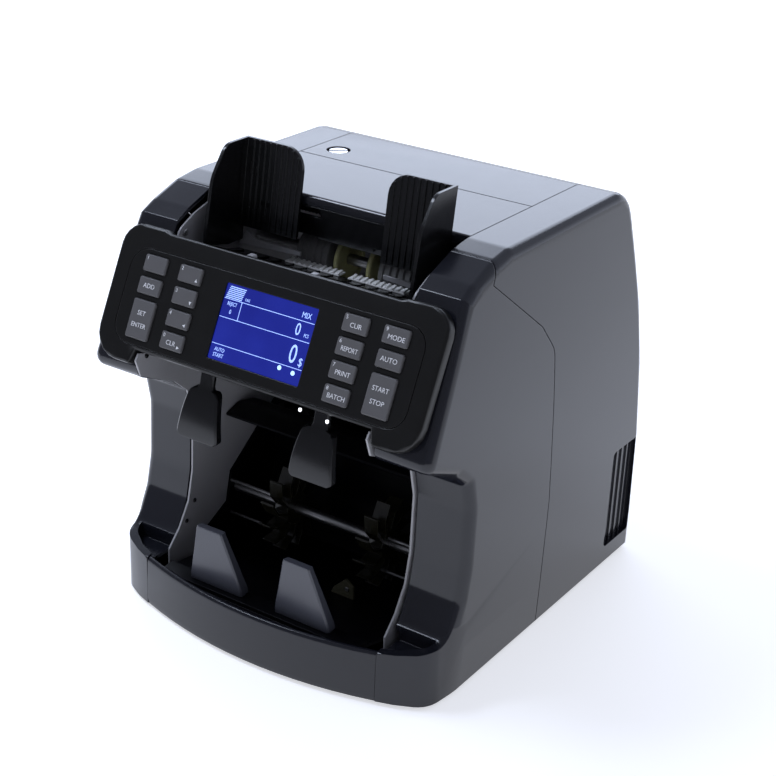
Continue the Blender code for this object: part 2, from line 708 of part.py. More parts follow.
def side_plates():
    """Sheet-metal frame plates on both sides of the note path."""
    rear_edge = [(262, 9.4), (262, 40), (229, 57.5), (224, 82.5), (192, 107), (160, 132), (23, 173)]
    top_edge = [(32, 227), (50, 290), (60, 312), (234, 312), (262, 304), (276, 297), (279, 294)]
    nose = [(315.2, 213.4), (324.2, 215.6), (327.6, 210.8), (322.6, 197.4), (287, 181), (273, 169)]
    front_edge = [(267, 145), (268, 100), (273, 76), (284, 57), (296, 44), (296, 9.4)]
    outline = rear_edge + top_edge + nose + front_edge
    for word, side in (("left", -1), ("right", 1)):
        prism(f"{word}_side_plate", outline, "x", side * 98.6, side * 100.1, "sheet")


def reject_pocket():
    """Roof under the control panel, curved floor, and two swinging stops."""
    roof = [(302, 211), (280, 206), (262, 196), (246, 196)]
    prism("reject_roof", strip(roof, -2.2), "x", -98, 98, "black")
    floor = rounded([(229, 134), (214, 139, 20), (192, 134, 20), (172, 118)], 4)
    prism("reject_floor", strip(floor, -2.2), "x", -98, 98, "black")
    for word, side in (("left", -1), ("right", 1)):
        reject_stop(word, side)


def reject_stop(word, side):
    """A hanging flap: a neck at its hinge, then a rounded plate bowed towards the user."""
    line = [(308.5, 208.5, 6, 3.6), (310.6, 200, 6, 3.6), (311.6, 197.6, 7, 4), (312.2, 197, 10, 6),
            (313.0, 195.8, 12, 6), (314.4, 193.5, 13.4, 6), (316.6, 188, 14.6, 6), (318.8, 181, 15.8, 6),
            (320.4, 174, 16.9, 6), (321.3, 168, 17.8, 6), (321.6, 164.6, 18.1, 6), (321.6, 162.6, 17.4, 6),
            (321.5, 161.3, 15.6, 5.6)]
    rings = []
    x = side * REJECT_STOP_X
    for depth, z, half, thick in line:
        left_half = [(-half, -thick), (-half, -1.1), (1.1 - half, 0)]
        corners = left_half + [(-u, w) for u, w in reversed(left_half)]
        rings.append([at(x + u, depth + w, z) for u, w in corners])
    flap = loft(f"{word}_reject_stop", rings, "black")
    set_origin(flap, at(side * REJECT_STOP_X, *REJECT_HINGE))


def stacker():
    """Sloping floor with a rail for the stops, back wall, shaft and finned wheels."""
    line = [(326, 37.5), (300, 37.5), (262, 30), (215, 17), (170, 13)]
    floor = prism("stacker_floor", strip(line, -2.4), "x", -98, 98)
    rail = prism("stop_rail", [(318, 36), (303, 36), (303, 41), (318, 41)], "x", -92, 92)
    combine(floor, rail, "UNION")
    edge = [point for point in lip_edge(6.2) if point[0] < 101]
    plan = [(-x, depth) for x, depth in edge[::-1]][:-1] + edge + [(104, 150), (-104, 150)]
    combine(floor, prism("floor_plan", plan, "z", 0, 60), "INTERSECT")
    paint(settle(floor), "black")
    back = rounded([(168, 112), (164, 96, 30), (166, 60, 30), (176, 18)], 4)
    cradle = prism("stacker_back", strip(back, -2.0), "x", -CHEEK, CHEEK)
    cheek = [(158, 10), (260, 10), (260, 38.5), (227.2, 56), (222.2, 81), (191, 105), (172, 118), (158, 118)]
    for side in (-1, 1):
        reach = sorted((side * (CHEEK - 1.6), side * CHEEK))
        combine(cradle, prism(f"stacker_cheek_{side}", cheek, "x", *reach), "UNION")
    paint(settle(cradle), "black")
    for word, side in (("left", -1), ("right", 1)):
        stacker_stop(word, side)
        stacker_wheel(word, side)
    shaft("stacker_shaft", *STACK_AXIS, 97.6, SHAFT_RADIUS)


def stacker_stop(word, side):
    """A fin that narrows upwards and leans towards the user."""
    rings = []
    x = side * STACK_STOP_X
    levels = ((313.2, 41.4, 24.2), (313.6, 46, 24.0), (317.4, 70, 17.6), (321, 91, 12), (320.6, 92.4, 11.4))
    for front, z, half in levels:
        back = 0.07 * (z - 42) - 9
        left_half = [(0.6 - half, back), (-half, -1.2), (1.2 - half, 0)]
        corners = left_half[1:] + [(-u, w) for u, w in reversed(left_half)] + left_half[:1]
        rings.append([at(x + u, front + w, z) for u, w in corners])
    loft(f"{word}_stacker_stop", rings, "stop")


def stacker_wheel(word, side):
    """Hub with bent fins that carry each note down to the floor."""
    depth, z = STACK_AXIS
    hub = 13.0
    outline = []
    for k in range(STACK_FINS):
        base = 2 * math.pi * k / STACK_FINS
        for radius, turn in ((hub, -0.10), (24, 0.12), (STACK_WHEEL, 0.42), (STACK_WHEEL, 0.47),
                             (24, 0.22), (hub, 0.08)):
            outline.append((depth + radius * math.cos(base + turn), z + radius * math.sin(base + turn)))
    wheel = prism(f"{word}_stacker_wheel", outline, "x", side * 38, side * 50)
    bore = turned(f"{word}_wheel_bore", [(SHAFT_RADIUS + GAP, 30), (SHAFT_RADIUS + GAP, 60)],
                  at(0, depth, z), (side, 0, 0), sides=16)
    settle(combine(wheel, bore))
    set_origin(paint(wheel, "black"), at(side * 44, depth, z))


def inner_units():
    """Drive motor and power supply on the base."""
    profile = [(4, -34), (4, -30), (22, -30), (23, -28), (23, 26), (22, 28), (8, 28), (8, 31)]
    turned("drive_motor", profile, at(45, 92, 60), (1, 0, 0), "steel", 24)
    block("power_supply", (-88, 8), (40, 138), (9.2, 44), "sheet")


def build():
    base_tray()
    feet()
    front_lip()
    for word, side in (("left", -1), ("right", 1)):
        side_covers(side, word)
    top_front_cover()
    rear_door()
    door_latch()
    rear_panel()
    power_inlet()
    power_switch()
    panel_housing()
    keypad_plate()
    key_caps()
    display()
    hopper()
    guides()
    guide_pinion()
    feed_set()
    side_plates()
    reject_pocket()
    stacker()
    inner_units()


build()
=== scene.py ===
import json
import math
import bpy
import bmesh
from mathutils import Matrix, Vector


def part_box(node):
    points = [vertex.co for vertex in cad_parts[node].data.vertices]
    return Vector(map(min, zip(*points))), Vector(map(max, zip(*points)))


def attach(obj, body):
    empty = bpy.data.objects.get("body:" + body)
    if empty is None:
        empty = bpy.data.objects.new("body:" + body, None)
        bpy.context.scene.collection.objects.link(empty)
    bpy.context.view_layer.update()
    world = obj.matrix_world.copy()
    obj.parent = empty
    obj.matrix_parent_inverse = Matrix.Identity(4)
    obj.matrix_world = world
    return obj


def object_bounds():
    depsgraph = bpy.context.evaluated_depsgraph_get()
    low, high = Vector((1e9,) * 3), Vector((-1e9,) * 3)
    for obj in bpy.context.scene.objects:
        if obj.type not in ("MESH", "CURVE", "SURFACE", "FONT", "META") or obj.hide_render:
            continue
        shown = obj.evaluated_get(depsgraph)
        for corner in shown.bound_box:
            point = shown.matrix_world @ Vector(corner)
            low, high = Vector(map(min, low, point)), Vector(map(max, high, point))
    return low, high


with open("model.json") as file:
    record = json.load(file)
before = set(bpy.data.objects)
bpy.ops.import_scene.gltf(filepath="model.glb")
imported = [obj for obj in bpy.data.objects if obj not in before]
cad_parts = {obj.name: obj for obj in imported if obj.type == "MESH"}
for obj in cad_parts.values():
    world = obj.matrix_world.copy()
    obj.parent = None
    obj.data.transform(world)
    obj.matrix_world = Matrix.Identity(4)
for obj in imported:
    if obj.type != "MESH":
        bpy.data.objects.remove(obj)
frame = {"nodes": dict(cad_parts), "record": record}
cadLow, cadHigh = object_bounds()
cad = frame["nodes"]
mm = 0.001
across, forward, upward = Vector((1, 0, 0)), Vector((0, -1, 0)), Vector((0, 0, 1))
print("frame loaded:", len(cad), "nodes")


# a shader socket that can be added, multiplied and so on
class Link:
    def __init__(self, finish, socket):
        self.finish, self.socket = finish, socket

    def maths(self, operation, *values):
        return self.finish.add("ShaderNodeMath", {"operation": operation}, values)

    def __add__(self, other):
        return self.maths("ADD", self, other)

    def __radd__(self, other):
        return self.maths("ADD", other, self)

    def __sub__(self, other):
        return self.maths("SUBTRACT", self, other)

    def __rsub__(self, other):
        return self.maths("SUBTRACT", other, self)

    def __mul__(self, other):
        return self.maths("MULTIPLY", self, other)

    def __rmul__(self, other):
        return self.maths("MULTIPLY", other, self)

    def between(self, low, high):  # 0 at low, 1 at high, flat past both
        sockets = {"Value": self, "From Min": low, "From Max": high}
        return self.finish.add("ShaderNodeMapRange", {"interpolation_type": "SMOOTHSTEP"}, sockets)


class Finish:
    def __init__(self, name, world=None):
        self.owner = world or bpy.data.materials.new(name)
        self.owner.use_nodes = True
        self.tree = self.owner.node_tree
        self.tree.nodes.clear()

    def add(self, kind, settings=None, values=(), out=0):
        node = self.tree.nodes.new(kind)
        for key, value in (settings or {}).items():
            if key == "stops":
                self.setStops(node.color_ramp, value)
            else:
                setattr(node, key, value)
        pairs = values.items() if isinstance(values, dict) else enumerate(values)
        for key, value in pairs:
            if isinstance(value, Link):
                self.tree.links.new(value.socket, node.inputs[key])
            else:
                node.inputs[key].default_value = value
        return Link(self, node.outputs[out]) if node.outputs else None

    def setStops(self, ramp, stops):
        while len(ramp.elements) < len(stops):
            ramp.elements.new(0.5)
        for element, (place, colour) in zip(ramp.elements, stops):
            element.position, element.color = place, colour

    def place(self):  # metres in the object's own frame
        return self.add("ShaderNodeTexCoord", out="Object")

    def noise(self, scale, detail=2.0, roughness=0.5):
        values = {"Vector": self.place(), "Scale": scale, "Detail": detail, "Roughness": roughness}
        return self.add("ShaderNodeTexNoise", values=values)

    def mixColour(self, factor, first, second):
        node = self.tree.nodes.new("ShaderNodeMix")
        node.data_type = "RGBA"
        for index, value in ((0, factor), (6, first), (7, second)):
            if isinstance(value, Link):
                self.tree.links.new(value.socket, node.inputs[index])
            else:
                node.inputs[index].default_value = value
        return Link(self, node.outputs[2])

    def rounded(self, radius):  # the surface direction, turned gently across sharp edges
        return self.add("ShaderNodeBevel", {"samples": 6}, {"Radius": radius})

    def edge(self, rounded):  # near 0 on a flat face, up to 1 along a sharp edge
        flat = self.add("ShaderNodeNewGeometry", out="Normal")
        level = self.add("ShaderNodeVectorMath", {"operation": "DOT_PRODUCT"}, [rounded, flat], "Value")
        return (1 - level).between(0.0, 0.22)

    def bump(self, height, distance, normal=None):
        values = {"Strength": 1.0, "Distance": distance, "Height": height}
        if normal:
            values["Normal"] = normal
        return self.add("ShaderNodeBump", values=values)

    def shade(self, **sockets):
        values = {key.replace("_", " "): value for key, value in sockets.items()}
        shader = self.add("ShaderNodeBsdfPrincipled", values=values)
        self.add("ShaderNodeOutputMaterial", values={"Surface": shader})
        return self.owner


def rgb(red, green, blue):
    return (red, green, blue, 1.0)


# base and worn colour, roughness, grain height, grain scale, edge radius, handling marks, sheen
plastics = {
    "cover": (rgb(0.0085, 0.009, 0.0135), rgb(0.018, 0.019, 0.026), 0.17, 0.000010, 2600, 0.0007, 0.012, 0.5),
    "panel": (rgb(0.004, 0.0038, 0.0034), rgb(0.008, 0.0078, 0.0075), 0.3, 1.8e-5, 2600, 0.0007, 0.03, 0.4),
    "key": (rgb(0.104, 0.101, 0.103), rgb(0.13, 0.127, 0.13), 0.5, 0.000026, 3200, 0.0009, 0.03, 0.5),
    "black": (rgb(0.0035, 0.0035, 0.004), rgb(0.009, 0.009, 0.0105), 0.2, 0.000012, 2600, 0.0007, 0.03, 0.45),
    # pocket: darker and less reflective than the black plastic, painted shade for the stacker and reject
    # recesses
    "pocket": (rgb(0.0013, 0.0013, 0.0022), rgb(0.003, 0.003, 0.004), 0.34, 1e-5, 2600, 0.0006, 0.03, 0.16),
    "slope": (rgb(0.002, 0.002, 0.0024), rgb(0.006, 0.006, 0.007), 0.14, 0.000008, 2600, 0.0006, 0.03, 0.4),
    "wheel": (rgb(0.010, 0.0092, 0.0045), rgb(0.03, 0.029, 0.02), 0.2, 0.000014, 2600, 0.0006, 0.05, 0.5),
    "olive": (rgb(0.105, 0.10, 0.062), rgb(0.2, 0.19, 0.13), 0.24, 0.000014, 2200, 0.0005, 0.05, 0.5),
    "stop": (rgb(0.056, 0.058, 0.072), rgb(0.08, 0.083, 0.1), 0.25, 0.000014, 2600, 0.0007, 0.02, 0.5),
    "sheet": (rgb(0.36, 0.355, 0.365), rgb(0.44, 0.44, 0.45), 0.36, 0.000012, 1400, 0.0005, 0.04, 0.5),
    "white": (rgb(0.84, 0.84, 0.82), rgb(0.9, 0.9, 0.88), 0.34, 0.00002, 2600, 0.0005, 0.04, 0.5),
    "wireRed": (rgb(0.28, 0.02, 0.015), rgb(0.36, 0.05, 0.04), 0.4, 0.00001, 2600, 0.0003, 0.05, 0.5),
    "wireBlue": (rgb(0.012, 0.05, 0.22), rgb(0.03, 0.09, 0.3), 0.4, 0.00001, 2600, 0.0003, 0.05, 0.5),
}


def mouldedPlastic(name, colour, worn, rough, grain, grainScale, edgeRadius, handled, sheen):
    f = Finish(name)
    rounded = f.rounded(edgeRadius)
    edge = f.edge(rounded)
    smears = f.noise(60, 3).between(0.4, 0.7)
    mottle = f.noise(900, 2)
    tone = f.mixColour(mottle.between(0.25, 0.75) * 0.2, colour, worn)
    tone = f.mixColour(edge * 0.5, tone, worn)
    roughness = rough + handled * smears + 0.02 * (mottle - 0.5) + 0.05 * edge
    normal = f.bump(f.noise(grainScale, 1), grain, rounded)
    return f.shade(Base_Color=tone, Roughness=roughness, Specular_IOR_Level=sheen, Normal=normal)


def brushedMetal(name, colour, rough, along):  # along: the axis its lines follow
    f = Finish(name)
    stretch = [90.0 if axis == along else 2600.0 for axis in "XYZ"]
    spread = f.add("ShaderNodeVectorMath", {"operation": "MULTIPLY"}, [f.place(), stretch])
    lines = f.add("ShaderNodeTexNoise", values={"Vector": spread, "Scale": 1.0, "Detail": 2.0})
    rounded = f.rounded(0.0005)
    stains = f.noise(55, 4).between(0.4, 0.75)
    dull = tuple(part * 0.72 for part in colour[:3]) + (1.0,)
    tone = f.mixColour(stains * 0.5, colour, dull)
    roughness = rough + 0.16 * (lines - 0.5) + 0.08 * stains
    normal = f.bump(lines, 0.00001, rounded)
    return f.shade(Base_Color=tone, Metallic=1.0, Roughness=roughness, Normal=normal)


def polishedMetal(name, colour, rough):
    f = Finish(name)
    rounded = f.rounded(0.0004)
    scuffs = f.noise(320, 5, 0.65).between(0.5, 0.72)
    tone = f.mixColour(scuffs * 0.3, colour, rgb(0.32, 0.32, 0.33))
    normal = f.bump(f.noise(1500, 2), 0.000012, rounded)
    return f.shade(Base_Color=tone, Metallic=1.0, Roughness=rough + 0.16 * scuffs, Normal=normal)


def softRubber(name, colour, worn, rough=0.62):
    f = Finish(name)
    rounded = f.rounded(0.0006)
    edge = f.edge(rounded)
    dust = f.noise(420, 4).between(0.45, 0.75)
    tone = f.mixColour(dust * 0.35 + edge * 0.3, colour, worn)
    normal = f.bump(f.noise(3800, 2), 0.00004, rounded)
    return f.shade(Base_Color=tone, Roughness=rough + 0.12 * dust, Normal=normal)


def circuitLacquer(name):
    f = Finish(name)
    tracks = f.add("ShaderNodeTexBrick", {"offset": 0.5}, {"Vector": f.place(), "Scale": 260.0,
                   "Mortar Size": 0.035}, "Fac")
    tone = f.mixColour(tracks, rgb(0.008, 0.09, 0.03), rgb(0.03, 0.22, 0.08))
    normal = f.bump(tracks, 0.00004)
    return f.shade(Base_Color=tone, Roughness=0.3 + 0.08 * f.noise(120, 3), Normal=normal)


def liquidCrystal(name, glow):
    f = Finish(name)
    cloud = f.noise(22, 2).between(0.3, 0.7)
    cells = f.add("ShaderNodeTexBrick", {"offset": 0.0}, {"Vector": f.place(), "Scale": 3000.0,
                  "Mortar Size": 0.03}, "Fac")
    light = f.mixColour(cloud, rgb(0.003, 0.009, 0.24), rgb(0.008, 0.018, 0.32))
    light = f.mixColour(cells * 0.25, light, rgb(0.0, 0.0, 0.12))
    return f.shade(Base_Color=rgb(0.004, 0.006, 0.03), Roughness=0.16 + 0.05 * cloud,
                   Emission_Color=light, Emission_Strength=glow, Coat_Weight=0.3, Coat_Roughness=0.08)


def litMark(name, colour, glow):
    f = Finish(name)
    flicker = f.noise(900, 2).between(0.2, 0.8)
    dim = tuple(part * 0.8 for part in colour[:3]) + (1.0,)
    light = f.mixColour(flicker, dim, colour)
    return f.shade(Base_Color=colour, Roughness=0.4 + 0.1 * flicker, Emission_Color=light,
                   Emission_Strength=glow)


def printedInk(name, colour):
    f = Finish(name)
    speck = f.noise(5200, 3).between(0.35, 0.75)
    rub = tuple(part * 0.78 for part in colour[:3]) + (1.0,)
    normal = f.bump(speck, 0.00001)
    return f.shade(Base_Color=f.mixColour(speck * 0.6, colour, rub), Roughness=0.45 + 0.15 * speck,
                   Normal=normal)


def makeFinishes():
    made = {name: mouldedPlastic(name + "Plastic", *values) for name, values in plastics.items()}
    made.update({
        "steel": brushedMetal("shaftSteel", rgb(0.42, 0.42, 0.42), 0.3, "X"),
        "chrome": polishedMetal("latchChrome", rgb(0.84, 0.85, 0.87), 0.1),
        "rubber": softRubber("rollerRubber", rgb(0.16, 0.16, 0.155), rgb(0.22, 0.22, 0.21)),
        "yellow": softRubber("grippingRubber", rgb(0.34, 0.33, 0.15), rgb(0.46, 0.45, 0.27), 0.5),
        "display": liquidCrystal("displayBlue", 1.0),
        "board": circuitLacquer("boardGreen"),
        "foot": softRubber("footRubber", rgb(0.012, 0.012, 0.012), rgb(0.05, 0.05, 0.048), 0.72),
        "ink": printedInk("keyInk", rgb(0.86, 0.86, 0.88)),
        "glyph": litMark("displayGlyph", rgb(0.36, 0.52, 1.0), 1.0),
        "dot": litMark("displayDot", rgb(0.45, 0.72, 1.0), 1.15),
        # a glowing finish for two small domes under the panel, a painted highlight for glints and not a lamp
        "lamp": litMark("paintedGlint", rgb(0.9, 0.93, 1.0), 2.2),
    })
    return made


# CAD facets are welded and shaded smooth where they turn gently
def smoothingGroup(limit):
    group = bpy.data.node_groups.new("weldAndSmooth", "GeometryNodeTree")
    group.interface.new_socket("Geometry", in_out="INPUT", socket_type="NodeSocketGeometry")
    group.interface.new_socket("Geometry", in_out="OUTPUT", socket_type="NodeSocketGeometry")
    add, join = group.nodes.new, group.links.new
    start, end = add("NodeGroupInput"), add("NodeGroupOutput")
    plain = add("GeometryNodeRemoveAttribute")
    plain.inputs["Name"].default_value = "custom_normal"
    weld = add("GeometryNodeMergeByDistance")
    weld.inputs["Distance"].default_value = 0.00001
    faces = add("GeometryNodeSetShadeSmooth")
    edges = add("GeometryNodeSetShadeSmooth")
    edges.domain = "EDGE"
    turn = add("GeometryNodeInputMeshEdgeAngle")
    gentle = add("FunctionNodeCompare")
    gentle.operation = "LESS_THAN"
    gentle.inputs["B"].default_value = limit
    join(start.outputs[0], plain.inputs["Geometry"])
    join(plain.outputs["Geometry"], weld.inputs["Geometry"])
    join(weld.outputs["Geometry"], faces.inputs["Geometry"])
    join(faces.outputs["Geometry"], edges.inputs["Geometry"])
    join(turn.outputs["Unsigned Angle"], gentle.inputs["A"])
    join(gentle.outputs["Result"], edges.inputs["Shade Smooth"])
    join(edges.outputs["Geometry"], end.inputs[0])
    return group


smoothing = smoothingGroup(math.radians(32))


def soften(piece):
    piece.modifiers.new("weldAndSmooth", "NODES").node_group = smoothing
    level = piece.modifiers.new("evenNormals", "WEIGHTED_NORMAL")
    level.keep_sharp = True


# nodes whose finish differs from that of their slot; the pocket finish on the stacker and reject insides is
# painted shade for those recesses
ownFinish = {
    "stacker_floor": "pocket", "stacker_back": "pocket", "reject_floor": "pocket", "reject_roof": "pocket",
    "feed_table": "slope", "left_stacker_wheel": "wheel", "right_stacker_wheel": "wheel",
}

finishes = makeFinishes()
for name, node in cad.items():
    slotName = node.data.materials[0].name.split(".")[0]
    node.material_slots[0].link = "OBJECT"
    node.material_slots[0].material = finishes[ownFinish.get(name, slotName)]
    soften(node)
print("finishes on every CAD node:", len(finishes))


# what carries a shape into the scene, on its body and with its finish
slotNames = {entry.get("slot") for entry in frame["record"]["materials"]}
sides = ((-1, "left"), (1, "right"))


def meshFrom(name, bm):
    mesh = bpy.data.meshes.new(name)
    bm.to_mesh(mesh)
    bm.free()
    return mesh


def putObject(name, data):
    item = bpy.data.objects.new(name, data)
    bpy.context.scene.collection.objects.link(item)
    return item


def keepPiece(name, mesh, finish, body, slot=None, smooth=True):
    piece = putObject(name, mesh)
    mesh.materials.clear()
    mesh.materials.append(finishes[finish])
    if smooth:
        soften(piece)
    if slot or finish in slotNames:
        slot or finish
    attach(piece, body)


def newPiece(name, bm, finish, body, slot=None, smooth=True):
    bmesh.ops.recalc_face_normals(bm, faces=bm.faces)
    keepPiece(name, meshFrom(name, bm), finish, body, slot, smooth)


def faceFrame(node, towards):
    # centre of a CAD node's outermost face along a direction, with that face's own right and up
    towards = Vector(towards).normalized()
    best = {}
    for face in cad[node].data.polygons:
        if face.normal.dot(towards) > 0.6:
            key = tuple(round(part, 2) for part in face.normal)
            best[key] = best.get(key, 0) + face.area
    out = Vector(max(best, key=best.get)).normalized()
    right = (across - out * across.dot(out)).normalized()
    up = out.cross(right)
    points = [vertex.co for vertex in cad[node].data.vertices]
    spans = [[point.dot(axis) for point in points] for axis in (right, up, out)]
    middle = [(min(span) + max(span)) / 2 for span in spans]
    centre = right * middle[0] + up * middle[1] + out * max(spans[2])
    size = Vector([max(span) - min(span) for span in spans])
    turn = Matrix((right, up, out)).transposed().to_4x4()
    return Matrix.Translation(centre) @ turn, size


def outlineSlab(bm, outline, low, high, place=Matrix.Identity(4), bevel=0.0):
    # a flat outline in x and y, raised from low to high, with its top edge eased
    bottom = [bm.verts.new(place @ Vector((x, y, low))) for x, y in outline]
    top = [bm.verts.new(place @ Vector((x, y, high))) for x, y in outline]
    count = len(outline)
    lid = bm.faces.new(top)
    bm.faces.new(list(reversed(bottom)))
    for i in range(count):
        j = (i + 1) % count
        bm.faces.new((bottom[i], bottom[j], top[j], top[i]))
    if bevel:
        bmesh.ops.bevel(bm, geom=list(lid.edges), offset=bevel, segments=2, profile=0.6, affect="EDGES")


def roundedRectangle(width, height, radius, steps=2):  # steps for each corner
    points = []
    for quarter, (sx, sy) in enumerate(((1, 1), (-1, 1), (-1, -1), (1, -1))):
        for step in range(steps + 1):
            angle = math.radians(90 * (quarter + step / steps))
            points.append((sx * (width / 2 - radius) + radius * math.cos(angle),
                           sy * (height / 2 - radius) + radius * math.sin(angle)))
    return points


def shifted(outline, x, y):
    return [(px + x, py + y) for px, py in outline]


def turnedShape(bm, profile, place=Matrix.Identity(4), steps=28):
    # (radius, height) pairs turned about z; the first and last close on the axis
    rings = []
    for radius, height in profile:
        if radius < 1e-7:
            rings.append([bm.verts.new(place @ Vector((0, 0, height)))])
        else:
            rings.append([bm.verts.new(place @ Vector((radius * math.cos(a), radius * math.sin(a), height)))
                          for a in (2 * math.pi * i / steps for i in range(steps))])
    for low, high in zip(rings, rings[1:]):
        for i in range(steps):
            j = (i + 1) % steps
            corners = [low[i % len(low)], low[j % len(low)], high[j % len(high)], high[i % len(high)]]
            bm.faces.new(list(dict.fromkeys(corners)))


def sweptStrip(bm, line, width, thickness, place=Matrix.Identity(4)):
    # a band of even thickness that follows a line in x and z, width along y
    offsets = []
    for i, point in enumerate(line):
        before, after = line[max(i - 1, 0)], line[min(i + 1, len(line) - 1)]
        way = Vector((after[0] - before[0], after[1] - before[1])).normalized()
        offsets.append(Vector((-way.y, way.x)) * thickness / 2)
    outline = [(p[0] + o.x, p[1] + o.y) for p, o in zip(line, offsets)]
    outline += [(p[0] - o.x, p[1] - o.y) for p, o in reversed(list(zip(line, offsets)))]
    turn = place @ Matrix(((1, 0, 0, 0), (0, 0, -1, 0), (0, 1, 0, 0), (0, 0, 0, 1)))
    outlineSlab(bm, outline, -width / 2, width / 2, turn)


def wordShape(text, height, depth, slim=1.0):
    # letters as a closed mesh, half their depth on each side of z = 0
    curve = bpy.data.curves.new("word", "FONT")
    curve.body, curve.size = text, height
    curve.align_x, curve.align_y = "CENTER", "CENTER"
    curve.extrude, curve.resolution_u = depth / 2, 3
    holder = putObject("word", curve)
    bpy.context.view_layer.update()
    mesh = bpy.data.meshes.new_from_object(holder.evaluated_get(bpy.context.evaluated_depsgraph_get()))
    bpy.data.objects.remove(holder)
    bpy.data.curves.remove(curve)
    mesh.transform(Matrix.Diagonal((slim, 1, 1, 1)))
    return mesh


def stamp(bm, mesh, place):
    mesh.transform(place)
    bm.from_mesh(mesh)
    bpy.data.meshes.remove(mesh)
    bmesh.ops.remove_doubles(bm, verts=bm.verts, dist=1e-7)


# key legends, one piece for each key so that it moves with it
legends = {
    "size": 4.7 * mm, "digit": 3.7 * mm, "proud": 0.12 * mm, "sunk": 0.05 * mm, "arrow": 2.1 * mm,
    "corner": (-7.3 * mm, 3.2 * mm), "word": (0.9 * mm, -1.3 * mm), "arrowPlace": (6.6 * mm, -2.9 * mm),
    "arrowRoom": 1.2 * mm, "lineStep": 8.8 * mm, "fullLetters": 4.7,  # longer words are made slimmer
    "keys": {
        "left_outer_1": ("1", "", None), "left_outer_2": ("", "ADD", None),
        "left_outer_tall": ("", "SET|ENTER", None),
        "left_inner_1": ("2", "", 90), "left_inner_2": ("3", "", -90),
        "left_inner_3": ("4", "", 180), "left_inner_4": ("0", "CLR", 0),
        "right_inner_1": ("5", "CUR", None), "right_inner_2": ("6", "REPORT", None),
        "right_inner_3": ("7", "PRINT", None), "right_inner_4": ("8", "BATCH", None),
        "right_outer_1": ("9", "MODE", None), "right_outer_2": ("", "AUTO", None),
        "right_outer_tall": ("", "START|STOP", None),
    },
}


def arrowHead(bm, place, angle, size, low, high):
    turn = place @ Matrix.Rotation(math.radians(angle), 4, "Z")
    tail, half = -size * 0.5, size * 0.55
    outlineSlab(bm, [(size * 0.6, 0), (tail, half), (tail, -half)], low, high, turn)


def keyLegend(key, digit, words, arrow):
    place = faceFrame("key_" + key, forward)[0]
    depth = legends["proud"] + legends["sunk"]
    lift = (legends["proud"] - legends["sunk"]) / 2
    bm = bmesh.new()
    if digit:
        x, y = legends["corner"]
        stamp(bm, wordShape(digit, legends["digit"], depth), place @ Matrix.Translation((x, y, lift)))
    lines = [word for word in words.split("|") if word]
    for i, word in enumerate(lines):
        x, y = legends["word"] if digit else (0, 0)
        if arrow is not None:
            x -= legends["arrowRoom"]
        y += legends["lineStep"] * ((len(lines) - 1) / 2 - i)
        slim = min(1.0, legends["fullLetters"] / len(word))
        stamp(bm, wordShape(word, legends["size"], depth, slim), place @ Matrix.Translation((x, y, lift)))
    if arrow is not None:
        x, y = legends["arrowPlace"]
        centre = place @ Matrix.Translation((x, y, 0))
        arrowHead(bm, centre, arrow, legends["arrow"], -legends["sunk"], legends["proud"])
    newPiece("legend_" + key, bm, "ink", "key_" + key + "_body", smooth=False)


for key, (digit, words, arrow) in legends["keys"].items():
    keyLegend(key, digit, words, arrow)
print("key legends:", len(legends["keys"]))


# dividers, readings and small marks on the lit window
picture = {
    "line": 0.42 * mm, "low": -0.05 * mm, "high": 0.05 * mm, "margin": 0.6 * mm,
    "dividers": [0.81, 0.56, 0.20], "cell": 0.2,
    "words": [("0", 0.85, 0.685, 11.8, 0.74), ("PCS", 0.95, 0.635, 3.4, 0.7), ("0", 0.87, 0.36, 18.0, 0.72),
              ("$", 0.965, 0.29, 8.0, 0.8), ("MIX", 0.90, 0.885, 5.6, 0.8), ("CASE", 0.25, 0.855, 2.6, 0.7),
              ("REJECT", 0.10, 0.75, 3.6, 0.72), ("0", 0.10, 0.645, 4.2, 0.8), ("AUTO", 0.10, 0.13, 3.8, 0.8),
              ("START", 0.10, 0.055, 3.8, 0.8)],
    "dots": [(0.77, 0.15), (0.92, 0.134)], "dotRadius": 1.6 * mm,
    "stripes": 7, "stripesFrom": (0.02, 0.83), "stripesTo": (0.20, 0.975), "stripeLean": 0.004,
}


def displayPicture():
    place, size = faceFrame("display_window", forward)
    width, height = size.x - 2 * picture["margin"], size.y - 2 * picture["margin"]
    low, high, line = picture["low"], picture["high"], picture["line"]

    def at(u, v, lift=0.0):
        return place @ Matrix.Translation(((u - 0.5) * width, (v - 0.5) * height, lift))

    def bar(bm, u, v, wide, tall):
        outlineSlab(bm, roundedRectangle(wide, tall, min(wide, tall) * 0.3), low, high, at(u, v))

    bm = bmesh.new()
    top, middle, bottom = picture["dividers"]
    for v in picture["dividers"]:
        bar(bm, 0.5, v, width, line)
    bar(bm, picture["cell"], (top + middle) / 2, line, (top - middle) * height)
    newPiece("display_dividers", bm, "glyph", "root", "display", smooth=False)

    bm = bmesh.new()
    for text, u, v, tall, slim in picture["words"]:
        word = wordShape(text, tall * mm, high - low, slim)
        stamp(bm, word, at(u, v, (high + low) / 2))
    newPiece("display_words", bm, "glyph", "root", "display", smooth=False)

    bm = bmesh.new()
    left, foot = picture["stripesFrom"]
    right, head = picture["stripesTo"]
    step = (head - foot) / (picture["stripes"] - 1)
    for row in range(picture["stripes"]):
        centre = (left + right) / 2 + picture["stripeLean"] * (row - (picture["stripes"] - 1) / 2)
        bar(bm, centre, foot + row * step, (right - left) * width, step * height * 0.5)
    newPiece("display_icon", bm, "glyph", "root", "display", smooth=False)

    bm = bmesh.new()
    radius = picture["dotRadius"]
    for u, v in picture["dots"]:
        turnedShape(bm, [(0, low), (radius, low), (radius, high), (0, high)], at(u, v), 20)
    newPiece("display_dots", bm, "dot", "root", "display", smooth=False)


displayPicture()
print("display picture")


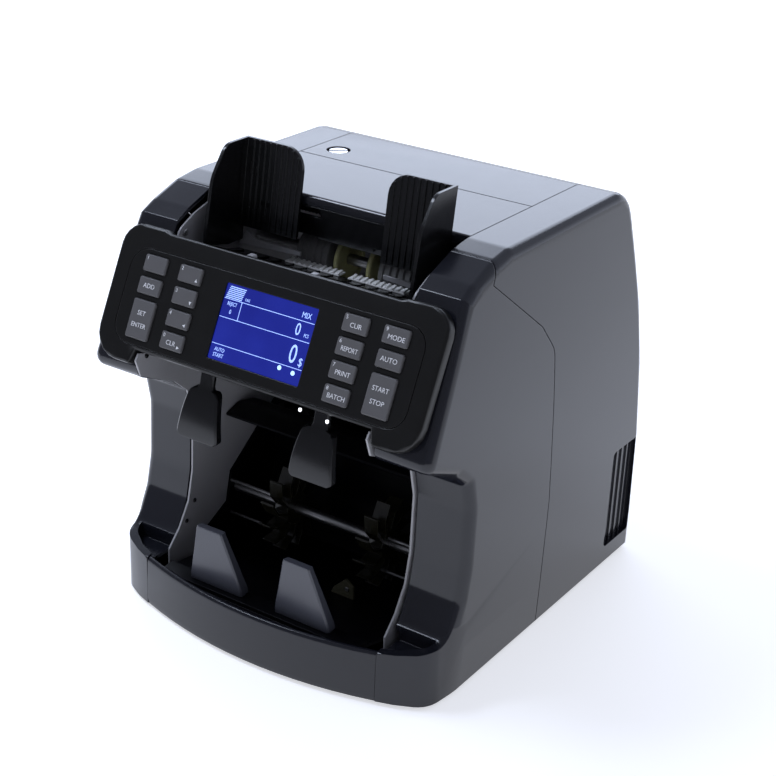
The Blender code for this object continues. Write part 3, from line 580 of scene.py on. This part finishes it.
# cross-head screws
screw = {"radius": 2.7 * mm, "height": 1.5 * mm, "cross": 0.32, "deep": 0.9 * mm, "shank": 2.0 * mm}


def screwMesh():
    radius, height = screw["radius"], screw["height"]
    bm = bmesh.new()
    dome = [(0, -screw["shank"]), (radius * 0.5, -screw["shank"]), (radius * 0.5, 0), (radius, 0),
            (radius, height * 0.35), (radius * 0.94, height * 0.6), (radius * 0.78, height * 0.84),
            (radius * 0.5, height * 0.97), (0, height)]
    turnedShape(bm, dome, steps=32)
    bmesh.ops.recalc_face_normals(bm, faces=bm.faces)
    head = meshFrom("screwHead", bm)
    bm = bmesh.new()
    arm, wide = radius * 0.68, radius * screw["cross"] / 2
    cross = [(wide, wide), (arm, wide), (arm, -wide), (wide, -wide), (wide, -arm), (-wide, -arm),
             (-wide, -wide), (-arm, -wide), (-arm, wide), (-wide, wide), (-wide, arm), (wide, arm)]
    outlineSlab(bm, cross, height - screw["deep"], height + 1 * mm)
    bmesh.ops.recalc_face_normals(bm, faces=bm.faces)
    return cutMesh(head, meshFrom("screwRecess", bm))


def cutMesh(solid, cutter):
    # solid with cutter taken away, as a new mesh
    first, second = putObject("solid", solid), putObject("cutter", cutter)
    cut = first.modifiers.new("cut", "BOOLEAN")
    cut.operation, cut.solver, cut.object = "DIFFERENCE", "EXACT", second
    bpy.context.view_layer.update()
    made = bpy.data.meshes.new_from_object(first.evaluated_get(bpy.context.evaluated_depsgraph_get()))
    for item in (first, second):
        bpy.data.objects.remove(item)
    return made


screwHead = screwMesh()


def putScrew(name, place, out, turn, scale, finish):
    mesh = screwHead.copy()
    aim = Vector(out).to_track_quat("Z", "Y").to_matrix().to_4x4()
    spin = Matrix.Rotation(math.radians(turn), 4, "Z")
    mesh.transform(Matrix.Translation(place) @ aim @ spin @ Matrix.Diagonal((scale, scale, scale, 1)))
    keepPiece(name, mesh, finish, "root")


def spot(x, depth, z):  # millimetres: across from the middle, forward from the rear, up from the floor
    return Vector((x * mm, cadHigh.y - depth * mm, z * mm))


def upright(place):  # outline x goes across, outline y goes up, and the slab's height runs to the rear
    return Matrix.Translation(place) @ Matrix(((1, 0, 0, 0), (0, 0, 1, 0), (0, 1, 0, 0), (0, 0, 0, 1)))


def rod(name, start, end, radius, finish, ease=0.4 * mm):
    length = (end - start).length
    aim = Matrix.Translation(start) @ (end - start).to_track_quat("Z", "Y").to_matrix().to_4x4()
    bm = bmesh.new()
    profile = [(0, 0), (radius - ease, 0), (radius, ease), (radius, length - ease), (radius - ease, length),
               (0, length)]
    turnedShape(bm, profile, aim)
    newPiece(name, bm, finish, "root")


# screws in the side plates: name, millimetres across, forward and up, size and finish
plateFace = abs(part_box("left_side_plate")[1].x) / mm
screwPlaces = [
    ("hopper", plateFace, 273.0, 292.2, 0.95, "steel"),
    ("nose", plateFace, 316.5, 211.6, 0.72, "black"),
    ("pocket", plateFace, 266.5, 74.0, 0.66, "black"),
    ("lower", plateFace, 276.0, 60.0, 0.66, "black"),
]


# and those in the rear panel and the base, as shares of their width, height and depth
casingScrews = {
    "rear": [(0.05, 0.82), (0.95, 0.82), (0.05, 0.2), (0.95, 0.2)], "rearScale": 0.62, "rearTurn": 17,
    "baseStep": 0.36, "baseRows": (0.22, 0.78), "baseScale": 0.8, "baseTurn": 23, "plateTurn": 31,
}


def plateScrews():
    for side, word in sides:
        for name, x, depth, z, scale, finish in screwPlaces:
            turn = casingScrews["plateTurn"] * side
            putScrew(f"screw_{word}_{name}", spot(side * x, depth, z), across * -side, turn, scale, finish)


def rearAndBaseScrews():
    low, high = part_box("rear_panel")
    for i, (x, z) in enumerate(casingScrews["rear"]):
        place = Vector((low.x + x * (high.x - low.x), high.y, low.z + z * (high.z - low.z)))
        turn = casingScrews["rearTurn"] * i
        putScrew(f"screw_rear_{i}", place, -forward, turn, casingScrews["rearScale"], "steel")
    low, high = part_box("base_tray")
    for i in range(6):
        x = (low.x + high.x) / 2 + (i % 3 - 1) * casingScrews["baseStep"] * (high.x - low.x)
        y = low.y + (high.y - low.y) * casingScrews["baseRows"][i // 3]
        turn = casingScrews["baseTurn"] * i
        putScrew(f"screw_base_{i}", Vector((x, y, low.z)), -upward, turn, casingScrews["baseScale"], "steel")


plateScrews()
rearAndBaseScrews()
print("screws")


# what shows in the hopper: ribs down the slope, slotted sliders under the rollers, feet and clips
hopper = {
    "slope": [(274.0, 286.7), (250.0, 276.3), (233.0, 268.9), (224.0, 266.3), (219.0, 265.6)],
    "ribs": 8, "ribFrom": 8.0, "ribStep": 11.6, "ribWide": 1.1, "ribTall": 1.5, "ribLift": 0.35,
    "slider": (4.0, 52.0, 209.0, 217.6, 265.6, 266.6),  # inner, outer, rear, front, low, high
    "teeth": 10, "toothBack": (-1.7, 0.5), "toothAhead": (2.1, -0.1), "toothInset": 0.3,
    "toothFoot": 0.4, "toothTall": 1.1, "toothEase": 0.25,
    "foot": [(-92.0, 271.2), (-91.0, 273.8), (-85.5, 282.2), (-79.8, 278.1), (-67.8, 277.0), (-36.0, 277.4),
             (-36.0, 274.4), (-79.8, 272.0)],
    "footDepth": (219.2, 220.6), "clip": [(-34.6, 280.2, 290.4), (19.2, 280.2, 289.8)],
    "clipHalf": [(3, -3.6), (3, 0.4), (2.2, 1.4)], "clipThick": 4.5,
}


def slopeRibs():
    path = [(depth * mm, (z + hopper["ribLift"]) * mm) for depth, z in hopper["slope"]]
    for side, word in sides:
        bm = bmesh.new()
        for k in range(hopper["ribs"]):
            x = side * (hopper["ribFrom"] + k * hopper["ribStep"])
            turn = Matrix.Translation(spot(x, 0, 0)) @ Matrix.Rotation(math.radians(-90), 4, "Z")
            sweptStrip(bm, path, hopper["ribWide"] * mm, hopper["ribTall"] * mm, turn)
        newPiece(f"slope_ribs_{word}", bm, "slope", "root", smooth=False)


def sliders():
    # a pale slider on each side, its top cut into slanted teeth
    inner, outer, rear, front, low, high = hopper["slider"]
    pitch = (outer - inner) / hopper["teeth"]
    back, ahead = rear + hopper["toothInset"], front - hopper["toothInset"]
    foot, head = (high - hopper["toothFoot"]) * mm, (high + hopper["toothTall"]) * mm
    for side, word in sides:
        bm = bmesh.new()
        base = [(side * inner, low), (side * outer, low), (side * outer, high), (side * inner, high)]
        if side < 0:
            base.reverse()
        place = upright(spot(0, front, 0))
        outlineSlab(bm, [(x * mm, z * mm) for x, z in base], 0, (front - rear) * mm, place)
        for k in range(hopper["teeth"]):
            x = side * (inner + (k + 0.5) * pitch)
            slant = [(x + shift, back) for shift in hopper["toothBack"]]
            slant += [(x + shift, ahead) for shift in hopper["toothAhead"]]
            tooth = [(u * mm, cadHigh.y - depth * mm) for u, depth in slant]
            outlineSlab(bm, tooth, foot, head, bevel=hopper["toothEase"] * mm)
        newPiece(f"feed_slider_{word}", bm, "white", "root", smooth=False)


def hopperFeet():
    rear, front = hopper["footDepth"]
    for side, word in sides:
        bm = bmesh.new()
        outline = [(-side * x * mm, z * mm) for x, z in hopper["foot"]]
        outlineSlab(bm, outline, 0, (front - rear) * mm, upright(spot(0, front, 0)))
        newPiece(f"hopper_foot_{word}", bm, "sheet", "root", smooth=False)
    half = hopper["clipHalf"]
    outline = [(u * mm, v * mm) for u, v in half + [(-u, v) for u, v in reversed(half)]]
    for i, (x, depth, z) in enumerate(hopper["clip"]):
        bm = bmesh.new()
        outlineSlab(bm, outline, 0, hopper["clipThick"] * mm, upright(spot(x, depth, z)))
        newPiece(f"hopper_clip_{i}", bm, "sheet", "root", smooth=False)


slopeRibs()
sliders()
hopperFeet()
print("hopper trim")


# what shows in the pockets: bars beside the wheels, a small guide fin and two glowing domes under the panel,
# painted highlights for two glints
pocket = {
    "barFrom": 51.8, "barTo": 97.9, "bars": [(223.0, 74.0, 1.5), (224.0, 46.0, 1.2)],
    "fin": [(16.4, 25.5), (19.0, 31.0), (29.0, 40.5), (36.0, 36.0), (36.5, 25.5)], "finDepth": 245.0,
    "finThick": 2.4, "finScrew": (31.0, 33.0), "glintStem": 1.2,
    "glints": [(36.5, 315.1, 208.6), (61.5, 318.6, 208.6)], "glintRadius": 1.1,
}


def pocketBars():
    for side, word in sides:
        for i, (depth, z, radius) in enumerate(pocket["bars"]):
            start, end = spot(side * pocket["barFrom"], depth, z), spot(side * pocket["barTo"], depth, z)
            rod(f"pocket_bar_{word}_{i}", start, end, radius * mm, "steel")


def pocketFin():
    bm = bmesh.new()
    depth = pocket["finDepth"]
    place = upright(spot(0, depth, 0))
    outlineSlab(bm, [(x * mm, z * mm) for x, z in pocket["fin"]], 0, pocket["finThick"] * mm, place)
    newPiece("pocket_fin", bm, "olive", "root", smooth=False)
    x, z = pocket["finScrew"]
    putScrew("screw_pocket_fin", spot(x, depth, z), forward, 20, 0.7, "steel")


# small glowing domes that paint two glints under the panel as highlights
def pocketGlints():
    radius, stem = pocket["glintRadius"] * mm, pocket["glintStem"] * mm
    for i, (x, depth, z) in enumerate(pocket["glints"]):
        bm = bmesh.new()
        dome = [(0, stem), (radius, stem), (radius, 0), (radius * 0.87, -radius * 0.5),
                (radius * 0.5, -radius * 0.87), (0, -radius)]
        turnedShape(bm, dome, Matrix.Translation(spot(x, depth, z)))
        newPiece(f"pocket_glint_{i}", bm, "lamp", "root")


pocketBars()
pocketFin()
pocketGlints()
print("pocket trim")


# what shows behind the hatch: transport rollers, leads and vents; and the marks on the switch
inner = {
    "rollers": [(70.0, 186.0), (62.0, 236.0), (96.0, 284.0)], "rollerPlaces": [25.0, 65.0],
    "rollerRadius": 8.5, "rollerHalf": 7.0, "rollerEase": 0.6, "rodRadius": 3.0, "rodGap": 0.7,
    "vents": 11, "ventTall": 0.7, "ventShare": 0.6, "ventBar": 3.0, "ventEnd": 1.4, "leadRadius": 1.2,
    "leads": [(-76.0, 22.5, 21.0, "wireBlue"), (-64.0, 22.5, 21.0, "wireRed"),
              (-36.0, 11.0, 22.0, "wireRed")],
    "marks": [("I", 0.26), ("O", -0.26)], "markSize": 3.6, "markDeep": 0.2,
}


def transportRollers():
    reach = plateFace - inner["rodGap"]
    for i, (depth, z) in enumerate(inner["rollers"]):
        ends = spot(-reach, depth, z), spot(reach, depth, z)
        rod(f"transport_rod_{i}", *ends, inner["rodRadius"] * mm, "steel")
        bm = bmesh.new()
        radius, half, ease = (inner[key] * mm for key in ("rollerRadius", "rollerHalf", "rollerEase"))
        bore = (inner["rodRadius"] - 0.1) * mm
        ring = [(bore, -half), (radius - ease, -half), (radius, ease - half), (radius, half - ease),
                (radius - ease, half), (bore, half), (bore, -half)]
        for side in (-1, 1):
            for x in inner["rollerPlaces"]:
                place = Matrix.Translation(spot(side * x, depth, z)) @ Matrix.Rotation(math.pi / 2, 4, "Y")
                turnedShape(bm, ring, place)
        bmesh.ops.remove_doubles(bm, verts=bm.verts, dist=1e-7)
        newPiece(f"transport_rollers_{i}", bm, "rubber", "root")


def supplyTrim():
    low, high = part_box("power_supply")
    back = (cadHigh.y - high.y) / mm
    for i, (x, depth, z, finish) in enumerate(inner["leads"]):
        ends = spot(x, depth, z), spot(x, back - 0.1, z)
        rod(f"lead_{i}", *ends, inner["leadRadius"] * mm, finish, ease=0.2 * mm)
    bm = bmesh.new()
    width = inner["ventShare"] * (high.x - low.x)
    for k in range(inner["vents"]):
        y = low.y + (k + 1) * (high.y - low.y) / (inner["vents"] + 1)
        bar = roundedRectangle(width, inner["ventBar"] * mm, inner["ventEnd"] * mm)
        bar = shifted(bar, (low.x + high.x) / 2, y)
        outlineSlab(bm, bar, high.z - 0.1 * mm, high.z + inner["ventTall"] * mm, bevel=0.2 * mm)
    newPiece("supply_vents", bm, "sheet", "root", smooth=False)


def switchMarks():
    low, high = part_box("power_switch")
    faces = [face for face in cad["power_switch"].data.polygons if face.normal.dot(-forward) > 0.7]
    bm = bmesh.new()
    for text, v in inner["marks"]:
        target = Vector(((low.x + high.x) / 2, high.y, (low.z + high.z) / 2 + v * (high.z - low.z)))
        face = min(faces, key=lambda item: (item.center - target).length)
        out = face.normal
        target -= out * (target - face.center).dot(out)
        right = (-across + out * across.dot(out)).normalized()
        turn = Matrix((right, out.cross(right), out)).transposed().to_4x4()
        mark = wordShape(text, inner["markSize"] * mm, inner["markDeep"] * mm)
        stamp(bm, mark, Matrix.Translation(target) @ turn)
    newPiece("switch_marks", bm, "ink", bodyOfJoint["power_rocker_tip"], smooth=False)


bodyOfJoint = {joint["name"]: joint["child"] for joint in frame["record"]["behaviour"]["joints"]}
transportRollers()
supplyTrim()
switchMarks()
print("inner trim")


# pale floor, soft light and the camera
studio = {
    "floorReach": 12.0, "floorDrop": 0.2 * mm, "floorGlow": 0.7,
    "floorColours": (rgb(0.86, 0.87, 0.9), rgb(0.8, 0.81, 0.84)),
    "flag": [(-1.5, 0.0), (1.1, 0.0), (1.1, 1.2), (-1.5, 1.2)], "flagThick": 0.02, "flagTurn": -24,
    "flagPlace": (-0.42, -1.12, 0), "flagColours": (rgb(0.12, 0.125, 0.15), rgb(0.15, 0.155, 0.18)),
    "sky": [(0.0, rgb(1.3, 1.4, 1.65)), (0.30, rgb(0.55, 0.59, 0.72)), (1.0, rgb(0.36, 0.39, 0.48))],
    "frontSky": rgb(0.20, 0.21, 0.25), "cool": (0.75, 0.83, 1.0),
    # azimuth, elevation, distance, size and glow of each soft light
    "lights": {"backSweep": (-33, 27, 3.2, (3.6, 1.5), 2.5), "overhead": (-119, 55, 2.0, (0.8, 0.5), 15.0)},
    "camera": (0.6319, -0.9507, 0.6834), "azimuth": 33.28, "elevation": 24.58, "roll": 2.42, "lens": 76.55,
}


def layFloor():
    bm = bmesh.new()
    bmesh.ops.create_grid(bm, x_segments=2, y_segments=2, size=studio["floorReach"])
    mesh = meshFrom("floor", bm)
    floor = putObject("floor", mesh)
    floor.location.z = -studio["floorDrop"]
    f = Finish("paleFloor")
    speck = f.noise(3, 2)
    tone = f.mixColour(speck * 0.1, *studio["floorColours"])
    mesh.materials.append(f.shade(Base_Color=tone, Roughness=0.6 + 0.05 * speck, Specular_IOR_Level=0.1,
                                  Emission_Color=tone, Emission_Strength=studio["floorGlow"]))


def darkFlag():
    # a dim board in front that only shows in reflections
    bm = bmesh.new()
    outlineSlab(bm, studio["flag"], 0, studio["flagThick"])
    bmesh.ops.recalc_face_normals(bm, faces=bm.faces)
    mesh = meshFrom("flag", bm)
    flag = putObject("flag", mesh)
    turn = Matrix.Rotation(math.radians(studio["flagTurn"]), 4, "Z") @ Matrix.Rotation(math.pi / 2, 4, "X")
    flag.matrix_world = Matrix.Translation(studio["flagPlace"]) @ turn
    f = Finish("flagCloth")
    tone = f.mixColour(f.noise(40, 2), *studio["flagColours"])
    mesh.materials.append(f.shade(Base_Color=rgb(0.02, 0.02, 0.022), Roughness=0.9, Emission_Color=tone,
                                  Emission_Strength=1.0))
    flag.visible_camera = False
    flag.visible_diffuse = False
    flag.visible_shadow = False


def softPanel(name, target, azimuth, elevation, distance, size, glow):
    # a soft rectangular light; glow is its brightness as seen in a mirror
    a, e = math.radians(azimuth), math.radians(elevation)
    back = Vector((math.sin(a) * math.cos(e), math.cos(a) * math.cos(e), math.sin(e)))
    light = bpy.data.lights.new(name, "AREA")
    light.shape, light.size, light.size_y = "RECTANGLE", size[0], size[1]
    light.energy = glow * math.pi * size[0] * size[1]
    light.color = studio["cool"]
    holder = putObject(name, light)
    holder.location = Vector(target) + back * distance
    holder.rotation_mode = "QUATERNION"
    holder.rotation_quaternion = back.to_track_quat("Z", "Y")
    holder.visible_camera = False


def lightRoom():
    world = bpy.data.worlds.new("studio")
    bpy.context.scene.world = world
    f = Finish("studio", world)
    way = f.add("ShaderNodeTexCoord", out="Generated")
    height = f.add("ShaderNodeSeparateXYZ", values=[way], out="Z")
    back = f.add("ShaderNodeSeparateXYZ", values=[way], out="Y")
    sky = f.add("ShaderNodeValToRGB", {"stops": studio["sky"]}, [height])
    sky = f.mixColour(back.between(-0.15, 0.35), studio["frontSky"], sky)
    seen = f.add("ShaderNodeLightPath", out="Is Camera Ray")
    colour = f.mixColour(seen, sky, rgb(1.0, 1.0, 1.0))
    glow = f.add("ShaderNodeBackground", values={"Color": colour, "Strength": 1.0})
    f.add("ShaderNodeOutputWorld", values={"Surface": glow})
    for name, values in studio["lights"].items():
        softPanel(name, (cadLow + cadHigh) / 2, *values)


def setCamera():
    a, e, roll = (math.radians(studio[key]) for key in ("azimuth", "elevation", "roll"))
    ahead = Vector((-math.sin(a) * math.cos(e), math.cos(a) * math.cos(e), -math.sin(e)))
    side = Vector((math.cos(a), math.sin(a), 0))
    over = side.cross(ahead)
    right = side * math.cos(roll) + over * math.sin(roll)
    up = over * math.cos(roll) - side * math.sin(roll)
    lens = bpy.data.cameras.new("camera")
    lens.lens, lens.sensor_width = studio["lens"], 36
    camera = putObject("camera", lens)
    turn = Matrix((right, up, -ahead)).transposed().to_4x4()
    camera.matrix_world = Matrix.Translation(studio["camera"]) @ turn
    bpy.context.scene.camera = camera


layFloor()
darkFlag()
lightRoom()
setCamera()
bpy.context.scene.view_settings.view_transform = "Standard"
print("stage, lights and camera")

bpy.context.view_layer.update()
